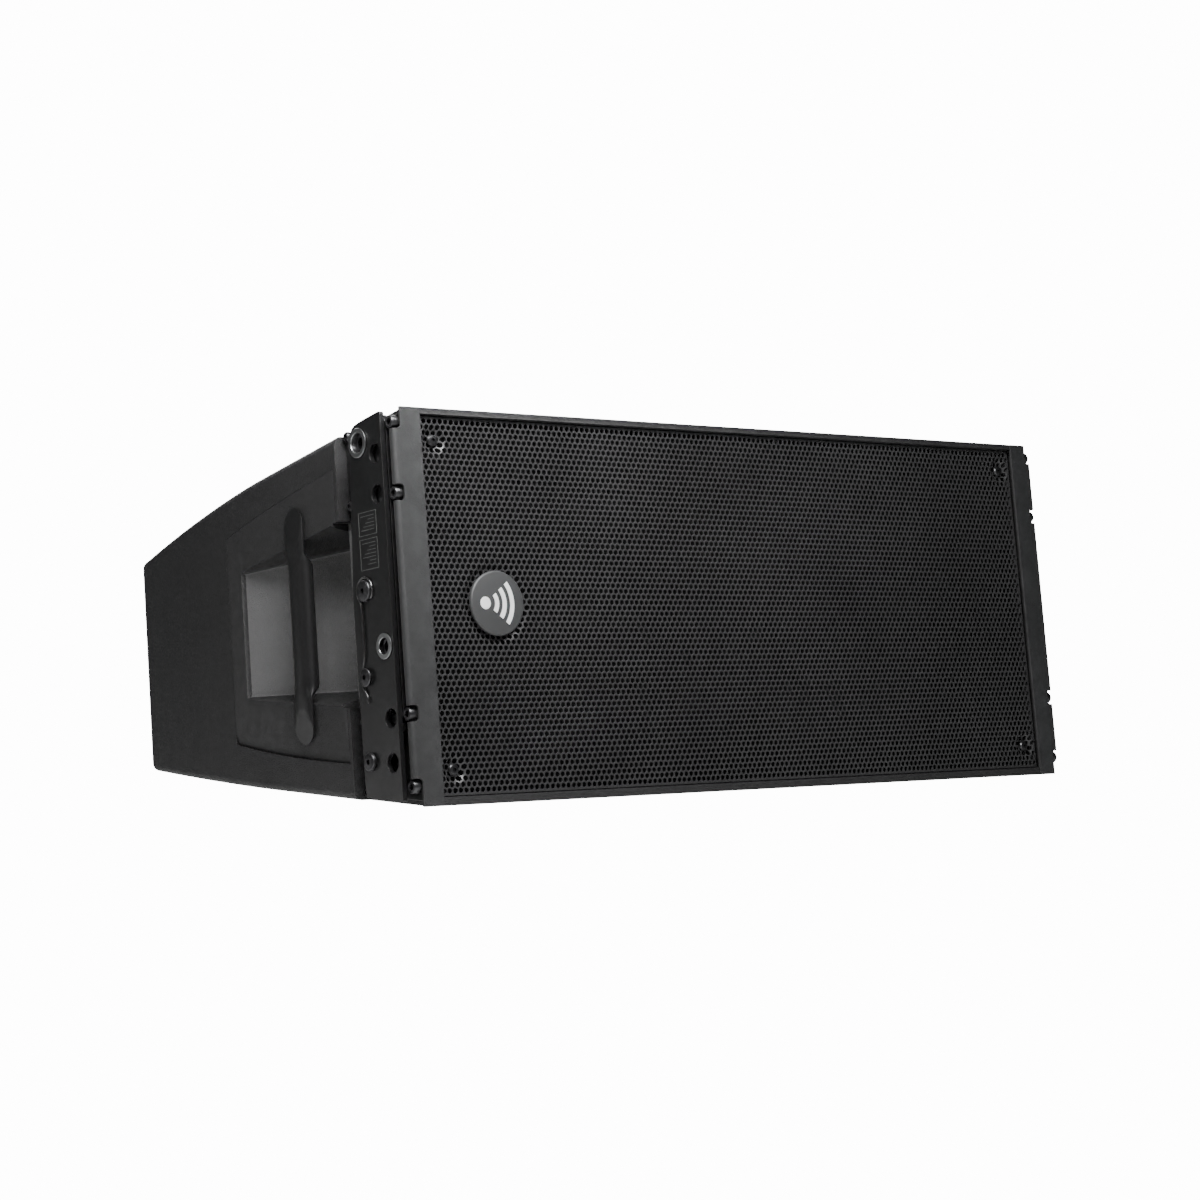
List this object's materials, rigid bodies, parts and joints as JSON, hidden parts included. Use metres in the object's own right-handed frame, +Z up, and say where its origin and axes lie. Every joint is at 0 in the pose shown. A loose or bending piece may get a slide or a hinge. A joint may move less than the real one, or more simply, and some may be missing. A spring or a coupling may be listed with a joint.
{
  "type": "line array speaker",
  "caption": "Wedge-shaped dual-woofer line array speaker module with a perforated front grille, side rigging plates with sliding links, recessed side handles and a finned rear amplifier.",
  "frame": {"origin": "bottom centre of the module's box", "axes": "+Z up, -Y out of the grille, +X to the right when facing the grille"},
  "size_m": [0.705, 0.502, 0.293],
  "materials": {
    "cabinet_plastic": "fine-grained moulded polypropylene",
    "handle_plastic": "satin moulded nylon",
    "baffle_board": "black-stained birch plywood",
    "black_plastic": "moulded black plastic",
    "cast_aluminium": "black-coated die casting",
    "grille_steel": "black powder coat on perforated steel",
    "foam": "open-cell acoustic foam",
    "badge_plastic": "satin grey disc",
    "black_anodised": "black anodised",
    "black_paint": "satin black powder coat",
    "circuit_board": "green solder mask",
    "led_lens": "clear green lens",
    "zinc_steel": "bright zinc plate",
    "cable_sheath": "flexible sheath",
    "blue_plastic": "blue connector insert",
    "grey_plastic": "light grey plastic",
    "dark_steel": "blackened steel",
    "surround_rubber": "butyl rubber",
    "flange_paint": "matte grey textured powder coat",
    "paper_cone": "treated paper"
  },
  "bodies": {
    "cabinet": {"cabinet_shell": "cabinet_plastic", "front_baffle": "baffle_board", "hf_waveguide": "black_plastic", "compression_driver": "cast_aluminium", "grille": "grille_steel", "grille_foam": "foam", "badge": "badge_plastic", "heatsink": "black_anodised", "amp_housing": "black_paint", "amp_board": "circuit_board", "connector_panel": "black_paint", "xlr_input": "black_plastic", "xlr_output": "black_plastic", "status_leds": "led_lens", "rear_bracket": "black_paint", "rear_pivot_bolt": "zinc_steel", "wiring_loom": "cable_sheath", "mains_inlet": "blue_plastic", "mains_outlet": "grey_plastic", "grille_screw_1": "dark_steel", "grille_screw_2": "dark_steel", "grille_screw_3": "dark_steel", "grille_screw_4": "dark_steel", "woofer_basket_left": "cast_aluminium", "woofer_basket_right": "cast_aluminium", "woofer_surround_left": "surround_rubber", "woofer_surround_right": "surround_rubber", "woofer_magnet_left": "cast_aluminium", "woofer_magnet_right": "cast_aluminium", "front_flange_left": "flange_paint", "front_flange_right": "flange_paint", "rigging_plate_left": "black_paint", "rigging_plate_right": "black_paint", "rigging_base_left": "black_paint", "rigging_base_right": "black_paint", "latch_spring_left": "zinc_steel", "latch_spring_right": "zinc_steel", "handle_panel_left": "cabinet_plastic", "handle_panel_right": "cabinet_plastic", "handle_left": "handle_plastic", "handle_right": "handle_plastic", "upper_bush_left": "zinc_steel", "upper_bush_right": "zinc_steel", "lower_bush_left": "zinc_steel", "lower_bush_right": "zinc_steel", "spring_boss_left": "dark_steel", "spring_boss_right": "dark_steel", "upper_plate_screw_left": "dark_steel", "upper_plate_screw_right": "dark_steel", "lower_plate_screw_left": "dark_steel", "lower_plate_screw_right": "dark_steel"},
    "link_left": {"link_bar_left": "zinc_steel"},
    "link_right": {"link_bar_right": "zinc_steel"},
    "cone_left": {"woofer_cone_left": "paper_cone"},
    "cone_right": {"woofer_cone_right": "paper_cone"},
    "rear_arm": {"rear_link_arm": "zinc_steel"},
    "rear_pin": {"rear_lock_pin": "zinc_steel"},
    "release_tab": {"xlr_release_tab": "zinc_steel"},
    "level_control": {"level_knob": "grey_plastic"},
    "preset_control": {"preset_knob": "grey_plastic"}
  },
  "joints": [
    {"name": "link_left_slide", "type": "slide", "parent": "cabinet", "child": "link_left", "axis": [0, 0, 1], "range_m": [0, 0.045]},
    {"name": "link_right_slide", "type": "slide", "parent": "cabinet", "child": "link_right", "axis": [0, 0, 1], "range_m": [0, 0.045]},
    {"name": "cone_left_travel", "type": "slide", "parent": "cabinet", "child": "cone_left", "axis": [0, 1, 0], "range_m": [-0.005, 0.005], "stiffness_N_per_m": 3000, "deforming": ["woofer_surround_left"]},
    {"name": "cone_right_travel", "type": "slide", "parent": "cabinet", "child": "cone_right", "axis": [0, 1, 0], "range_m": [-0.005, 0.005], "stiffness_N_per_m": 3000, "deforming": ["woofer_surround_right"]},
    {"name": "rear_arm_swing", "type": "hinge", "parent": "cabinet", "child": "rear_arm", "pos_m": [0, 0.219, 0.208], "axis": [1, 0, 0], "range_deg": [0, 180]},
    {"name": "rear_pin_pull", "type": "slide", "parent": "cabinet", "child": "rear_pin", "axis": [-1, 0, 0], "range_m": [0, 0.055]},
    {"name": "release_tab_push", "type": "slide", "parent": "cabinet", "child": "release_tab", "axis": [0, -1, 0], "range_m": [0, 0.002], "stiffness_N_per_m": 400},
    {"name": "level_turn", "type": "hinge", "parent": "cabinet", "child": "level_control", "pos_m": [-0.175, 0.177, 0.184], "axis": [0, 1, 0], "range_deg": [-140, 140]},
    {"name": "preset_turn", "type": "hinge", "parent": "cabinet", "child": "preset_control", "pos_m": [-0.215, 0.177, 0.184], "axis": [0, 1, 0], "range_deg": [-140, 140]}
  ]
}
